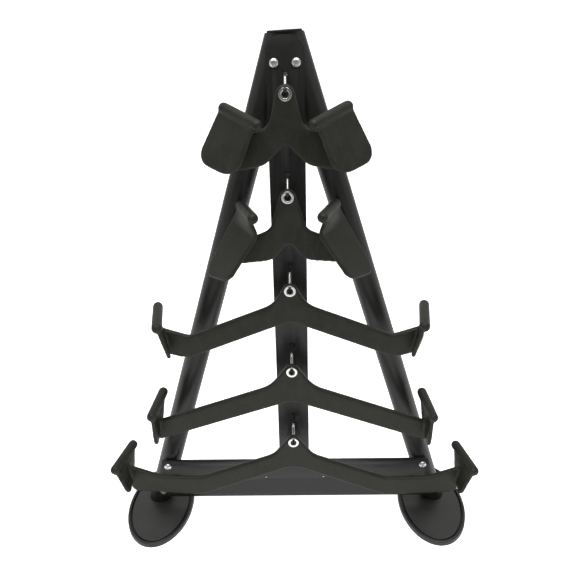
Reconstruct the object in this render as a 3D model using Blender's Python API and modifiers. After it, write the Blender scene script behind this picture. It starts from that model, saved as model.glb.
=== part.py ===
# Cable attachment rack: an A-frame of two round tubes with a central spine,
# five bent hooks, and five coated grips hanging from them by metal eyelets.
# Metres, +Z up, the front faces -Y, the two feet are centred on the origin.
import bpy
import bmesh
import math
from mathutils import Matrix, Vector

MM = 0.001

# ---------------------------------------------------------------- dimensions
GAP = 0.3 * MM                 # clearance between touching pieces

# leg tubes
TUBE_R = 30.0 * MM
TUBE_WALL = 2.5 * MM
TUBE_Y = 31.0 * MM
TUBE_X0 = 395.4 * MM           # axis |x| at floor level
TUBE_SLOPE = 0.30931           # axis |x| lost per metre of height
TUBE_TOP = 1248.0 * MM
TOP_SLANT = math.radians(2.2)     # right side higher
TUBE_SIDES = 28

# top cap
CAP_HALF_X = 36.3 * MM
CAP_HALF_Y = 32.5 * MM
CAP_CORNER = 27.0 * MM
CAP_THICK = 3.5 * MM

# flat plates of the frame
PLATE_T = 6.0 * MM
PLATE_FRONT = TUBE_Y - TUBE_R - GAP - PLATE_T
SPINE_HALF_W = 40.0 * MM
SPINE_TOP = 1244.0 * MM
SPINE_CORNER = 34.0 * MM
CROSS_TOP = 166.6 * MM
CROSS_BOTTOM = 39.8 * MM
CROSS_HALF_TOP = 364.2 * MM
CROSS_HALF_BOTTOM = 399.6 * MM
CROSS_SMALL_HOLE = (80.0 * MM, 104.0 * MM, 3.5 * MM)

# screws
TOP_SCREW_AT = (22.9 * MM, 1191.0 * MM)
CROSS_SCREWS_AT = ((350.0 * MM, 148.5 * MM), (371.0 * MM, 61.0 * MM))
SCREW_SHANK_R = 5.0 * MM
SCREW_HOLE_R = 5.4 * MM
SCREW_SHANK_L = 13.0 * MM
TOP_HEAD_R = 9.4 * MM
CROSS_HEAD_R = 9.6 * MM
HEAD_H = 6.0 * MM
SOCKET_R = 3.4 * MM
SOCKET_DEPTH = 3.2 * MM

# eyelets and hooks
RING_Y = -72.0 * MM
RING_Z = [z * MM for z in (1137.9, 929.2, 711.7, 496.9, 286.0)]
EYE_BORE_R = 7.25 * MM
EYE_BARREL_R = 10.5 * MM
EYE_FLANGE_R = 13.3 * MM
EYE_HALF_L = 8.5 * MM
EYE_MOUTH_R = 2.0 * MM
EYE_FLANGE_T = 1.2 * MM
HOOK_R = 3.2 * MM
HOOK_RISE = 30.0 * MM          # nut centre above eyelet centre
HOOK_TIP_SLOPE = math.radians(25.0)
HOOK_DROP_SLOPE = math.radians(60.0)
HOOK_BOTTOM_R = 12.0 * MM
HOOK_BOTTOM_Y = 2.0 * MM
HOOK_BOTTOM_Z = 0.25 * MM
HOOK_TOP_R = 10.0 * MM
HOOK_REACH = 28.0 * MM
HOOK_REAR = 10.0 * MM          # threaded end, behind the spine
HOOK_HOLE_R = 3.8 * MM
NUT_AF = 10.0 * MM
NUT_H = 5.0 * MM
NUT_HOLE_R = 3.8 * MM

# feet
FOOT_X = 383.7 * MM
FOOT_RX = 90.0 * MM
FOOT_RY = 149.0 * MM
SOLE_FLOOR = 4.0 * MM
SOLE_RIM_W = 8.0 * MM
SOLE_RIM_H = 14.0 * MM
FOOT_GROOVE = 3.0 * MM
FOOT_PLATE_T = 8.0 * MM
FOOT_PLATE_TOP = SOLE_FLOOR + GAP + FOOT_PLATE_T

# grips
ARM_HALF_T = 7.0 * MM
ARM_EDGE = 2.6 * MM
HUB_BORE_R = EYE_BARREL_R + GAP
ROLL_R = 12.3 * MM
ROLL_LEN = 125.0 * MM
ROLL_END_R = 9.0 * MM
PALM_T = 12.0 * MM
PALM_EDGE = 3.2 * MM
PALM_SET_BACK = 2.0 * MM
PALM_ACROSS = 5                # cells of the palm plate's cage
PALM_DOWN = 3
PALM_FLARE = 0.27              # height share where a bowed plate stands furthest in
PALM_ROUND = (2, 3)            # runs of a small and of a large corner

# Each grip, right-hand half, millimetres from the eyelet centre (x, z):
#   hub    radius of the lobe round the eyelet
#   top    corners (x, z, fillet) of the upper edge, from the hub outwards
#   low    corners (x, z, fillet) of the lower edge, from the palm plate back
#          to the centre line
#   end    heights where the arm runs into the palm plate, upper and lower
#   near   front end of the hand roll (x, y, z), far its rear end
#   lean   slant of the palm plate's front and rear edges, degrees outwards
#   drop   length of the front and rear edges below the roll
#   inset  front and rear edges inside the roll's ends
#   round  corner radii, front (across, down) and rear
#   bow    how far the front edge curves in towards the arm
#   hang   how far the hanging grip tips, degrees, right side down
GRIPS = (
    dict(hub=19.0, top=((34.5, -63.9, 30.0),),
         end=(-87.9, -127.9),
         low=((100.0, -151.9, 20.0),
              (46.0, -142.4, 50.0),
              (0.0, -97.9, 9.0)),
         near=(55.5, -42.0, -53.3), far=(126.0, 31.0, -30.3),
         lean=(21.0, 28.0), drop=(117.0, 121.0), inset=(17.0, 1.0),
         round=(43.0, 42.0, 30.0), bow=0.0, hang=0.45),
    dict(hub=17.3, top=((39.0, -72.4, 30.0),),
         end=(-101.9, -153.7),
         low=((35.0, -143.4, 45.0),
              (0.0, -99.9, 9.0)),
         near=(71.5, -52.0, -30.9), far=(106.0, 54.0, -32.9),
         lean=(24.5, 29.0), drop=(150.0, 177.0), inset=(20.0, 2.0),
         round=(26.0, 22.0, 25.0), bow=27.0, hang=0.00),
    dict(hub=16.5, top=((38.5, -36.1, 75.0),
                        (238.0, -115.9, 25.0)),
         end=(-93.4, -161.3),
         low=((247.0, -176.3, 80.0),
              (0.0, -78.4, 45.0)),
         near=(298.8, -57.0, -71.1), far=(320.5, 66.0, -67.1),
         lean=(-14.0, 3.0), drop=(91.0, 91.0), inset=(6.0, 6.0),
         round=(20.0, 20.0, 20.0), bow=0.0, hang=0.50),
    dict(hub=18.3, top=((52.8, -43.2, 75.0),),
         end=(-146.7, -184.2),
         low=((340.0, -204.2, 60.0),
              (0.0, -84.2, 45.0)),
         near=(340.0, -56.5, -101.9), far=(331.5, 67.0, -100.4),
         lean=(-1.5, 9.0), drop=(91.0, 91.0), inset=(6.0, 6.0),
         round=(20.0, 20.0, 20.0), bow=0.0, hang=0.95),
    dict(hub=17.2, top=((51.3, -42.6, 50.0),
                        (241.0, -117.3, 40.0),
                        (352.0, -113.8, 70.0)),
         end=(-79.3, -124.3),
         low=((432.0, -162.3, 30.0),
              (243.0, -174.5, 60.0),
              (0.0, -75.4, 70.0)),
         near=(451.5, -51.0, -52.3), far=(431.5, 54.0, -55.3),
         lean=(-23.0, 8.0), drop=(79.0, 79.0), inset=(6.0, 6.0),
         round=(20.0, 20.0, 20.0), bow=0.0, hang=0.85),
)

# ------------------------------------------------------------------ scene
for old in list(bpy.data.objects):
    bpy.data.objects.remove(old, do_unlink=True)

PART = bpy.data.collections.new("cable_attachment_rack")
CUT = bpy.data.collections.new("cutters")
bpy.context.scene.collection.children.link(PART)
bpy.context.scene.collection.children.link(CUT)


def material(name, colour, roughness, metallic):
    mat = bpy.data.materials.new(name)
    mat.use_nodes = True
    bsdf = mat.node_tree.nodes["Principled BSDF"]
    bsdf.inputs["Base Color"].default_value = (*colour, 1.0)
    bsdf.inputs["Roughness"].default_value = roughness
    bsdf.inputs["Metallic"].default_value = metallic
    return mat


def put(obj, collection, mat=None):
    collection.objects.link(obj)
    if mat is not None:
        obj.data.materials.append(mat)
    if collection is CUT:
        obj.hide_render = True
        obj.display_type = "WIRE"
    return obj


def node(name, mesh, colour, roughness, metallic, at=(0.0, 0.0, 0.0)):
    obj = bpy.data.objects.new(name, mesh)
    put(obj, PART, material(name, colour, roughness, metallic))
    obj.location = at
    return obj


def cutter(name, mesh, matrix=None):
    obj = bpy.data.objects.new(name, mesh)
    put(obj, CUT)
    if matrix is not None:
        obj.matrix_world = matrix
    return obj


def boolean(obj, other, how):
    mod = obj.modifiers.new(how.lower() + "_" + other.name, "BOOLEAN")
    mod.operation = how
    mod.solver = "EXACT"
    mod.object = other


def bevel(obj, width, segments, angle=40.0):
    mod = obj.modifiers.new("edge", "BEVEL")
    mod.width = width
    mod.segments = segments
    mod.limit_method = "ANGLE"
    mod.angle_limit = math.radians(angle)
    mod.use_clamp_overlap = True


def finish(mesh):
    bm = bmesh.new()
    bm.from_mesh(mesh)
    bmesh.ops.remove_doubles(bm, verts=bm.verts, dist=1e-6)
    bmesh.ops.recalc_face_normals(bm, faces=bm.faces)
    bm.to_mesh(mesh)
    bm.free()
    return mesh


def smooth(mesh, angle=40.0):
    for poly in mesh.polygons:
        poly.use_smooth = True
    mesh.set_sharp_from_angle(angle=math.radians(angle))
    return mesh


def from_curve(curve):
    """Mesh of a curve, with its end caps welded on."""
    obj = bpy.data.objects.new("tmp", curve)
    bpy.context.scene.collection.objects.link(obj)
    bpy.context.view_layer.update()
    deps = bpy.context.evaluated_depsgraph_get()
    mesh = bpy.data.meshes.new_from_object(obj.evaluated_get(deps))
    bpy.data.objects.remove(obj, do_unlink=True)
    return finish(mesh)


def flat(name, loops, half, upright):
    """Solid from closed flat outlines; the first is the rim, the rest holes.

    upright: the outline's second axis is the height and the thickness runs
    along Y, otherwise the outline lies level."""
    curve = bpy.data.curves.new(name, "CURVE")
    curve.dimensions = "2D"
    curve.fill_mode = "BOTH"
    curve.extrude = half
    for loop in loops:
        spline = curve.splines.new("POLY")
        spline.points.add(len(loop) - 1)
        for point, (a, b) in zip(spline.points, loop):
            point.co = (a, b, 0.0, 1.0)
        spline.use_cyclic_u = True
    mesh = from_curve(curve)
    bm = bmesh.new()
    bm.from_mesh(mesh)
    bmesh.ops.dissolve_limit(bm, angle_limit=math.radians(0.5),
                             verts=bm.verts, edges=bm.edges,
                             delimit={"NORMAL"})
    bm.to_mesh(mesh)
    bm.free()
    if upright:
        mesh.transform(Matrix.Rotation(math.pi / 2.0, 4, "X"))
    return mesh


def turned(name, profile, sides, closed=False):
    """Solid of revolution about Z from (radius, height) points."""
    mesh = bpy.data.meshes.new(name)
    count = len(profile)
    edges = [(i, i + 1) for i in range(count - 1)]
    if closed:
        edges.append((count - 1, 0))
    mesh.from_pydata([(r, 0.0, z) for r, z in profile], edges, [])
    obj = bpy.data.objects.new("tmp", mesh)
    bpy.context.scene.collection.objects.link(obj)
    mod = obj.modifiers.new("turn", "SCREW")
    mod.axis = "Z"
    mod.angle = 2.0 * math.pi
    mod.steps = sides
    mod.render_steps = sides
    mod.use_merge_vertices = True
    mod.merge_threshold = 1e-6
    bpy.context.view_layer.update()
    deps = bpy.context.evaluated_depsgraph_get()
    out = bpy.data.meshes.new_from_object(obj.evaluated_get(deps))
    bpy.data.objects.remove(obj, do_unlink=True)
    return finish(out)


def rod(name, points, radius, resolution):
    """Round rod along a list of points, with flat filled ends."""
    curve = bpy.data.curves.new(name, "CURVE")
    curve.dimensions = "3D"
    curve.bevel_depth = radius
    curve.bevel_resolution = resolution
    curve.use_fill_caps = True
    spline = curve.splines.new("POLY")
    spline.points.add(len(points) - 1)
    for point, co in zip(spline.points, points):
        point.co = (*co, 1.0)
    return from_curve(curve)


def drum(radius, length, sides, centre=(0.0, 0.0, 0.0), along="Y"):
    """Cylinder mesh, centred, along one axis."""
    bm = bmesh.new()
    bmesh.ops.create_cone(bm, cap_ends=True, segments=sides, radius1=radius,
                          radius2=radius, depth=length)
    mesh = bpy.data.meshes.new("drum")
    bm.to_mesh(mesh)
    bm.free()
    if along == "Y":
        mesh.transform(Matrix.Rotation(math.pi / 2.0, 4, "X"))
    mesh.transform(Matrix.Translation(centre))
    return mesh


def block(low, high):
    """Box mesh between two corners."""
    bm = bmesh.new()
    bmesh.ops.create_cube(bm, size=1.0)
    mesh = bpy.data.meshes.new("block")
    bm.to_mesh(mesh)
    bm.free()
    low, high = Vector(low), Vector(high)
    size = high - low
    mesh.transform(Matrix.Translation((low + high) / 2.0)
                   @ Matrix.Diagonal((*size, 1.0)))
    return mesh


def joined(name, meshes):
    """Several separate bodies in one mesh."""
    bm = bmesh.new()
    for mesh in meshes:
        bm.from_mesh(mesh)
    out = bpy.data.meshes.new(name)
    bm.to_mesh(out)
    bm.free()
    return out


def fillet(corners, step=15.0):
    """Closed outline from (x, z, radius) corners, arcs cut into short runs."""
    out = []
    count = len(corners)
    for i, (x, z, radius) in enumerate(corners):
        here = Vector((x, z))
        before = Vector(corners[i - 1][:2]) - here
        after = Vector(corners[(i + 1) % count][:2]) - here
        if radius <= 0.0:
            out.append((x, z))
            continue
        a, b = before.normalized(), after.normalized()
        opening = math.acos(max(-1.0, min(1.0, a.dot(b))))
        turn = math.pi - opening
        reach = min(radius / math.tan(opening / 2.0),
                    0.48 * before.length, 0.48 * after.length)
        radius = reach * math.tan(opening / 2.0)
        centre = here + (a + b).normalized() * (radius / math.sin(opening / 2.0))
        start = here + a * reach - centre
        steps = max(1, round(math.degrees(turn) / step))
        sign = 1.0 if a.x * b.y - a.y * b.x < 0.0 else -1.0
        for k in range(steps + 1):
            t = sign * turn * k / steps
            out.append((centre.x + start.x * math.cos(t) - start.y * math.sin(t),
                        centre.y + start.x * math.sin(t) + start.y * math.cos(t)))
    return out


def circle(x, z, radius, sides):
    return [(x + radius * math.cos(2.0 * math.pi * k / sides),
             z + radius * math.sin(2.0 * math.pi * k / sides))
            for k in range(sides)]


def oval(x, y, rx, ry, sides):
    return [(x + rx * math.cos(2.0 * math.pi * k / sides),
             y + ry * math.sin(2.0 * math.pi * k / sides))
            for k in range(sides)]


def axes(origin, ux, uy, uz):
    """Placement matrix from an origin and three unit axes."""
    out = Matrix.Identity(4)
    for col, vec in enumerate((ux, uy, uz, origin)):
        for row in range(3):
            out[row][col] = vec[row]
    return out


# ------------------------------------------------------------------- legs
def leg(side, name):
    length = 1400.0 * MM
    tilt = Vector((-side * TUBE_SLOPE, 0.0, 1.0)).normalized()
    middle = Vector((side * (TUBE_X0 - TUBE_SLOPE * 630.0 * MM), TUBE_Y,
                     630.0 * MM))
    across = Vector((0.0, 1.0, 0.0))
    place = axes(middle, across.cross(tilt), across, tilt)
    mesh = flat(name, (circle(0, 0, TUBE_R, TUBE_SIDES),
                       circle(0, 0, TUBE_R - TUBE_WALL, TUBE_SIDES)),
                length / 2.0, False)
    mesh.transform(place)
    if side < 0:
        mesh = finish(mesh)
    smooth(mesh)
    obj = node(name, mesh, (0.012, 0.012, 0.013), 0.22, 0.0)
    # upright mitre against the other tube, a slightly slanted cut on top and
    # a level cut at the foot
    if side > 0:
        wall = block((-0.3, -0.2, 0.9), (GAP / 2.0, 0.3, 1.5))
    else:
        wall = block((-GAP / 2.0, -0.2, 0.9), (0.3, 0.3, 1.5))
    boolean(obj, cutter(name + "_mitre", wall), "DIFFERENCE")
    boolean(obj, cutter(name + "_top", block((-0.4, -0.2, 0.0), (0.4, 0.3, 0.4)),
                         TOP_PLANE), "DIFFERENCE")
    boolean(obj, cutter(name + "_foot", block(
        (side * 0.45 - 0.3, -0.2, -0.3),
        (side * 0.45 + 0.3, 0.3, FOOT_PLATE_TOP + GAP))), "DIFFERENCE")
    spots = [TOP_SCREW_AT, *CROSS_SCREWS_AT]
    drills = joined(name + "_drills", [
        drum(SCREW_HOLE_R, 20.0 * MM, 12, (side * x, 4.0 * MM, z))
        for x, z in spots])
    boolean(obj, cutter(name + "_drills", drills), "DIFFERENCE")
    return obj


TOP_PLANE = (Matrix.Translation((0.0, 0.0, TUBE_TOP))
             @ Matrix.Rotation(-TOP_SLANT, 4, "Y"))
leg(-1.0, "leg_left")
leg(1.0, "leg_right")

# top cap: a thin plate with rounded corners over both tube ends
cap = flat("top_cap", (fillet((
    (CAP_HALF_X, -CAP_HALF_Y, CAP_CORNER), (CAP_HALF_X, CAP_HALF_Y, CAP_CORNER),
    (-CAP_HALF_X, CAP_HALF_Y, CAP_CORNER),
    (-CAP_HALF_X, -CAP_HALF_Y, CAP_CORNER))),), CAP_THICK / 2.0, False)
cap.transform(TOP_PLANE @ Matrix.Translation((0.0, TUBE_Y,
                                              GAP + CAP_THICK / 2.0)))
node("top_cap", cap, (0.012, 0.012, 0.013), 0.3, 0.0)

# ------------------------------------------------------- spine, crossmember
plate_y = PLATE_FRONT + PLATE_T / 2.0
spine_low = CROSS_TOP + GAP
spine_loops = [fillet((
    (-SPINE_HALF_W, spine_low, 0.0), (SPINE_HALF_W, spine_low, 0.0),
    (SPINE_HALF_W, SPINE_TOP, SPINE_CORNER),
    (-SPINE_HALF_W, SPINE_TOP, SPINE_CORNER)), 12.0)]
for z in RING_Z:
    spine_loops.append(circle(0.0, z + HOOK_RISE, HOOK_HOLE_R, 12))
for s in (-1.0, 1.0):
    spine_loops.append(circle(s * TOP_SCREW_AT[0], TOP_SCREW_AT[1],
                              SCREW_HOLE_R, 12))
spine = node("spine_plate", flat("spine_plate", spine_loops, PLATE_T / 2.0, True),
             (0.02, 0.02, 0.021), 0.45, 0.0, (0.0, plate_y, 0.0))

cross_loops = [[(-CROSS_HALF_BOTTOM, CROSS_BOTTOM), (CROSS_HALF_BOTTOM, CROSS_BOTTOM),
                (CROSS_HALF_TOP, CROSS_TOP), (-CROSS_HALF_TOP, CROSS_TOP)]]
for s in (-1.0, 1.0):
    for x, z in CROSS_SCREWS_AT:
        cross_loops.append(circle(s * x, z, SCREW_HOLE_R, 12))
    cross_loops.append(circle(s * CROSS_SMALL_HOLE[0], CROSS_SMALL_HOLE[1],
                              CROSS_SMALL_HOLE[2], 12))
cross = node("crossmember", flat("crossmember", cross_loops, PLATE_T / 2.0, True),
             (0.03, 0.03, 0.031), 0.5, 0.0, (0.0, plate_y, 0.0))


# ------------------------------------------------------------------ screws
def screw(head_r):
    """Button-head screw with a hex socket, its head towards -Y."""
    dome = []
    for k in range(4):
        t = math.radians(90.0 * k / 3.0)
        dome.append((SOCKET_R * 1.25 + (head_r - SOCKET_R * 1.25) * math.sin(t),
                     HEAD_H * 0.35 + HEAD_H * 0.65 * math.cos(t)))
    profile = [(0.0, HEAD_H), *dome, (head_r, 0.0),
               (SCREW_SHANK_R, 0.0), (SCREW_SHANK_R, -SCREW_SHANK_L + 1.0 * MM),
               (SCREW_SHANK_R - 1.0 * MM, -SCREW_SHANK_L), (0.0, -SCREW_SHANK_L)]
    body = turned("screw", profile, 12)
    solid = bpy.data.objects.new("tmp", body)
    bm = bmesh.new()
    bmesh.ops.create_cone(bm, cap_ends=True, segments=6, radius1=SOCKET_R,
                          radius2=SOCKET_R, depth=2.0 * SOCKET_DEPTH)
    hexa = bpy.data.meshes.new("socket")
    bm.to_mesh(hexa)
    bm.free()
    hexa.transform(Matrix.Translation((0.0, 0.0, HEAD_H)))
    tool = bpy.data.objects.new("tmp2", hexa)
    for item in (solid, tool):
        bpy.context.scene.collection.objects.link(item)
    boolean(solid, tool, "DIFFERENCE")
    bpy.context.view_layer.update()
    deps = bpy.context.evaluated_depsgraph_get()
    out = bpy.data.meshes.new_from_object(solid.evaluated_get(deps))
    for item in (solid, tool):
        bpy.data.objects.remove(item, do_unlink=True)
    out.transform(Matrix.Rotation(math.pi / 2.0, 4, "X"))
    return out


steel = (0.72, 0.70, 0.66)
for s, side in ((-1.0, "left"), (1.0, "right")):
    node("top_screw_" + side, smooth(screw(TOP_HEAD_R), 35.0), steel, 0.25, 1.0,
         (s * TOP_SCREW_AT[0], PLATE_FRONT - GAP, TOP_SCREW_AT[1]))
    for (x, z), level in zip(CROSS_SCREWS_AT, ("upper", "lower")):
        node("crossmember_screw_%s_%s" % (side, level),
             smooth(screw(CROSS_HEAD_R), 35.0), steel, 0.25, 1.0,
             (s * x, PLATE_FRONT - GAP, z))


# ------------------------------------------------------------------- hooks
def hook_path():
    """Centre line in the YZ plane, from the eyelet centre, rear end first."""
    tip, drop = HOOK_TIP_SLOPE, HOOK_DROP_SLOPE
    yc, zc = HOOK_BOTTOM_Y, HOOK_BOTTOM_Z + HOOK_BOTTOM_R
    rear_y = yc + HOOK_BOTTOM_R * math.sin(drop)
    rear_z = zc - HOOK_BOTTOM_R * math.cos(drop)
    bend_z = HOOK_RISE - HOOK_TOP_R * (1.0 - math.cos(drop))
    run = (bend_z - rear_z) / math.sin(drop)
    bend_y = rear_y + run * math.cos(drop)
    centre_y = bend_y + HOOK_TOP_R * math.sin(drop)
    pts = [(0.0, HOOK_REAR - RING_Y, HOOK_RISE)]
    for k in range(5):
        t = drop * k / 4.0
        pts.append((0.0, centre_y - HOOK_TOP_R * math.sin(t),
                    HOOK_RISE - HOOK_TOP_R + HOOK_TOP_R * math.cos(t)))
    for k in range(8):
        t = -drop + (drop + tip) * k / 7.0
        pts.append((0.0, yc - HOOK_BOTTOM_R * math.sin(t),
                    zc - HOOK_BOTTOM_R * math.cos(t)))
    end = pts[-1]
    run = (HOOK_REACH + end[1]) / math.cos(tip)
    pts.append((0.0, -HOOK_REACH, end[2] + run * math.sin(tip)))
    return pts


def hex_nut():
    """Hex nut with its axis along Y."""
    return flat("nut", (circle(0, 0, NUT_AF / math.sqrt(3.0), 6),
                        circle(0, 0, NUT_HOLE_R, 12)), NUT_H / 2.0, True)


for k, z in enumerate(RING_Z):
    mesh = smooth(rod("hook", hook_path(), HOOK_R, 2))
    node("hook_%d" % (k + 1), mesh, (0.62, 0.61, 0.58), 0.3, 1.0,
         (0.0, RING_Y, z))
    node("front_nut_%d" % (k + 1), hex_nut(), (0.02, 0.02, 0.02), 0.4, 0.0,
         (0.0, PLATE_FRONT - GAP - NUT_H / 2.0, z + HOOK_RISE))
    node("rear_nut_%d" % (k + 1), hex_nut(), (0.02, 0.02, 0.02), 0.4, 0.0,
         (0.0, PLATE_FRONT + PLATE_T + GAP + NUT_H / 2.0, z + HOOK_RISE))


# ------------------------------------------------------------------- feet
def foot(side, name):
    x = side * FOOT_X
    groove = SOLE_RIM_W + FOOT_GROOVE
    plate = flat("foot_plate_" + name, (oval(0.0, 0.0, FOOT_RX - groove,
                                             FOOT_RY - groove, 32),),
                 FOOT_PLATE_T / 2.0, False)
    obj = node("foot_plate_" + name, smooth(plate),
               (0.03, 0.03, 0.031), 0.5, 0.0,
               (x, 0.0, FOOT_PLATE_TOP - FOOT_PLATE_T / 2.0))
    bevel(obj, 1.0 * MM, 1)
    # rubber tray: floor, groove and raised rim, scaled from a turned section
    profile = [(0.0, SOLE_FLOOR), (FOOT_RY - SOLE_RIM_W, SOLE_FLOOR),
               (FOOT_RY - SOLE_RIM_W, SOLE_RIM_H - 2.0 * MM),
               (FOOT_RY - SOLE_RIM_W + 2.5 * MM, SOLE_RIM_H),
               (FOOT_RY - 2.5 * MM, SOLE_RIM_H),
               (FOOT_RY, SOLE_RIM_H - 3.0 * MM),
               (FOOT_RY, 1.0 * MM), (FOOT_RY - 1.0 * MM, 0.0), (0.0, 0.0)]
    tray = turned("foot_rubber_" + name, profile, 32)
    for vert in tray.vertices:
        r = math.hypot(vert.co.x, vert.co.y)
        if r > 0.001:
            vert.co.x *= (r - (FOOT_RY - FOOT_RX)) / r
    node("foot_rubber_" + name, smooth(finish(tray)), (0.015, 0.015, 0.015),
         0.6, 0.0, (x, 0.0, 0.0))


foot(-1.0, "left")
foot(1.0, "right")


# ------------------------------------------------------------------ eyelets
def eyelet():
    """Turned bushing about Y with a flange on each face of the hub."""
    inner = []
    for k in range(3):
        t = math.radians(90.0 * k / 2.0)
        inner.append((EYE_BORE_R + EYE_MOUTH_R * (1.0 - math.sin(t)),
                      EYE_HALF_L - EYE_MOUTH_R * (1.0 - math.cos(t))))
    inner.reverse()
    low = EYE_HALF_L - EYE_FLANGE_T
    upper = [*[(r, z) for r, z in reversed(inner)],
             (EYE_FLANGE_R - 0.5 * MM, EYE_HALF_L),
             (EYE_FLANGE_R, EYE_HALF_L - 0.5 * MM),
             (EYE_FLANGE_R, low), (EYE_BARREL_R, low)]
    upper[0:3] = sorted(upper[0:3], key=lambda p: p[0])
    lower = [(r, -z) for r, z in reversed(upper)]
    mesh = turned("eyelet", upper + lower, 16, closed=True)
    mesh.transform(Matrix.Rotation(math.pi / 2.0, 4, "X"))
    return smooth(mesh, 35.0)


# -------------------------------------------------------------------- grips
def roll_mesh():
    """Hand roll about Z with rounded ends."""
    half = ROLL_LEN / 2.0
    profile = [(0.0, half)]
    for k in range(4):
        t = math.radians(90.0 * k / 3.0)
        profile.append((ROLL_R - ROLL_END_R + ROLL_END_R * math.sin(t),
                        half - ROLL_END_R + ROLL_END_R * math.cos(t)))
    profile += [(r, -z) for r, z in reversed(profile)]
    return turned("roll", profile, 12)


class Palm:
    """Middle surface of a palm plate, right-hand side of its grip.

    u runs from the roll's front end (0) to its rear end (1), v downwards
    from the roll (0) to the lower edge (1)."""

    def __init__(self, spec):
        self.near = Vector(spec["near"]) * MM
        self.far = Vector(spec["far"]) * MM
        self.along = (self.far - self.near).normalized()
        self.lean = [math.radians(a) for a in spec["lean"]]
        self.drop = [d * MM for d in spec["drop"]]
        self.inset = [d * MM for d in spec["inset"]]
        self.round = [d * MM for d in spec["round"]]
        self.bow = spec["bow"] * MM
        self.inward = self.along.cross(self.down(0.5))
        if self.inward.x > 0.0:
            self.inward = -self.inward
        self.centre = (self.near + self.far) / 2.0

    def down(self, u):
        slant = self.lean[0] + (self.lean[1] - self.lean[0]) * u
        out = Vector((math.sin(slant), 0.0, -math.cos(slant)))
        out.y = -(out.x * self.along.x + out.z * self.along.z) / self.along.y
        return out.normalized()

    def flare(self, v):
        """Share of the bow at a height: quickly in under the roll, slowly back."""
        s = min(1.0, max(0.0, (v - 0.03) / (PALM_FLARE - 0.05)))
        back = max(0.0, v - PALM_FLARE) / (1.0 - PALM_FLARE)
        return s * s * (3.0 - 2.0 * s) * (1.0 - 0.74 * back)

    def at(self, u, v):
        half = ROLL_LEN / 2.0
        run = (self.inset[0] - half) * (1.0 - u) + (half - self.inset[1]) * u
        length = self.drop[0] * (1.0 - u) + self.drop[1] * u
        bow = self.bow * (1.0 - u) * self.flare(v)
        return (self.centre + self.along * run + self.down(u) * (length * v)
                + self.inward * (PALM_SET_BACK + bow))

    def x_at(self, z):
        """x where the surface crosses the arms' middle plane at a height."""
        best = min(((abs(p.y) + abs(p.z - z), p.x) for p in (
            self.at(i / 60.0, j / 60.0) for i in range(61) for j in range(61))))
        return best[1]

    def mesh(self, side):
        """Cage of the surface, its lower corners drawn in."""
        across, deep = self.round[0], self.round[1]
        rear = self.round[2]
        drop = (self.drop[0] + self.drop[1]) / 2.0
        width = ROLL_LEN - self.inset[0] - self.inset[1]
        low = 1.0 - deep / drop
        rows = [k / PALM_DOWN * low for k in range(PALM_DOWN)]
        if self.bow > 0.0:
            rows = [k / 3.0 * PALM_FLARE for k in range(3)]
            rows += [PALM_FLARE + k / 3.0 * (low - PALM_FLARE) for k in range(3)]
        runs = PALM_ROUND[deep > 30.0 * MM]
        rows += [1.0 - deep / drop * (1.0 - math.sin(math.radians(90.0 * k / runs)))
                 for k in range(runs + 1)]
        verts = []
        for v in rows:
            front = 1.0 - (1.0 - v) * drop / deep
            back = 1.0 - (1.0 - v) * drop / rear
            cut = 1.0 - math.sqrt(max(0.0, 1.0 - max(0.0, front) ** 2))
            lo = across / width * cut
            hi = 1.0 if back <= 0.0 else 1.0 - rear / width * (
                1.0 - math.sqrt(max(0.0, 1.0 - back * back)))
            for k in range(PALM_ACROSS + 1):
                p = self.at(lo + (hi - lo) * k / PALM_ACROSS, v)
                verts.append((p.x * side, p.y, p.z))
        n = PALM_ACROSS + 1
        faces = []
        for i in range(len(rows) - 1):
            for k in range(PALM_ACROSS):
                quad = (i * n + k, i * n + k + 1, (i + 1) * n + k + 1,
                        (i + 1) * n + k)
                faces.append(quad if side > 0.0 else quad[::-1])
        out = bpy.data.meshes.new("palm")
        out.from_pydata(verts, [], faces)
        return out


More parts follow.
